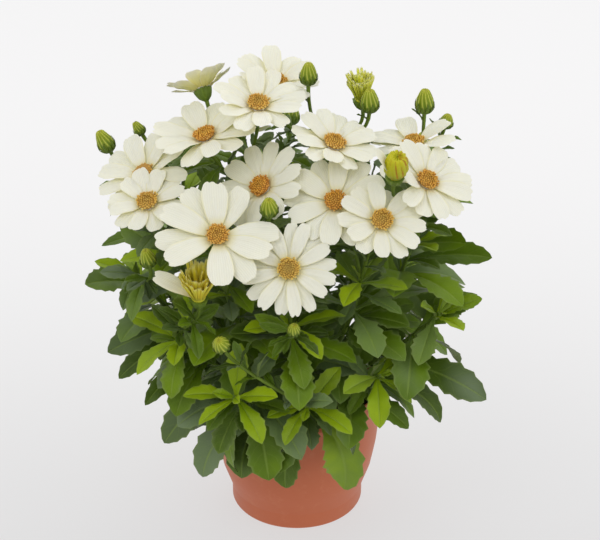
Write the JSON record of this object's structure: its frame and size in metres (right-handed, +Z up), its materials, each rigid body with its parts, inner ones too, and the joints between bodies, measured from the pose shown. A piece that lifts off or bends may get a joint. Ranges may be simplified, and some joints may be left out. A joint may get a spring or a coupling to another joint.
{
  "type": "potted african daisy",
  "caption": "African daisy in a plastic pot: cream-white blooms with golden discs and closed buds on leafy stems that arch out and hang over the rim.",
  "frame": {"origin": "centre of the pot's flat underside", "axes": "+Z up along the pot's axis, -Y towards the plant's front, +X to the right as seen from the front"},
  "size_m": [0.286, 0.2713, 0.358],
  "materials": {
    "pot": "satin moulded terracotta-coloured plastic",
    "soil": "moist crumbly potting compost",
    "leaf": "semi-gloss green leaf with paler veins",
    "petals": "soft cream-white petal with fine lengthwise grooves",
    "straps": "yellow half-open petal",
    "disc": "matt golden-orange florets"
  },
  "bodies": {
    "root": {"pot": "pot", "soil": "soil", "bloom_01_petals": "petals", "bloom_01_disc": "disc", "bloom_02_petals": "petals", "bloom_02_disc": "disc", "bloom_03_petals": "petals", "bloom_03_disc": "disc", "bloom_04_petals": "petals", "bloom_04_disc": "disc", "bloom_05_petals": "petals", "bloom_05_disc": "disc", "bloom_06_petals": "petals", "bloom_06_disc": "disc", "bloom_07_petals": "petals", "bloom_07_disc": "disc", "bloom_08_petals": "petals", "bloom_08_disc": "disc", "bloom_09_petals": "petals", "bloom_09_disc": "disc", "bloom_10_petals": "petals", "bloom_10_disc": "disc", "bloom_11_petals": "petals", "bloom_11_disc": "disc", "bloom_12_petals": "petals", "bloom_12_disc": "disc", "bloom_13_petals": "petals", "bloom_13_disc": "disc", "bloom_14_petals": "petals", "bloom_14_disc": "disc", "bloom_15_petals": "petals", "bloom_15_disc": "disc", "bloom_16_petals": "petals", "bloom_16_disc": "disc", "brush_01_petals": "straps", "brush_02_petals": "straps", "brush_03_petals": "straps", "shoot_left_upper": "leaf", "shoot_front_left": "leaf", "shoot_front": "leaf", "shoot_front_right": "leaf", "shoot_right_upper": "leaf", "shoot_middle": "leaf", "shoot_middle_left": "leaf", "shoot_crown": "leaf", "shoot_right_back": "leaf", "shoot_low_star": "leaf", "shoot_low_left_front": "leaf", "shoot_low_left": "leaf", "shoot_low_right": "leaf", "shoot_low_right_front": "leaf", "shoot_low_front": "leaf", "shoot_left_back": "leaf", "shoot_back": "leaf", "shoot_back_right": "leaf", "shoot_low_side_left": "leaf", "shoot_low_back_left": "leaf", "shoot_low_back": "leaf", "shoot_low_side_right": "leaf"}
  },
  "joints": []
}
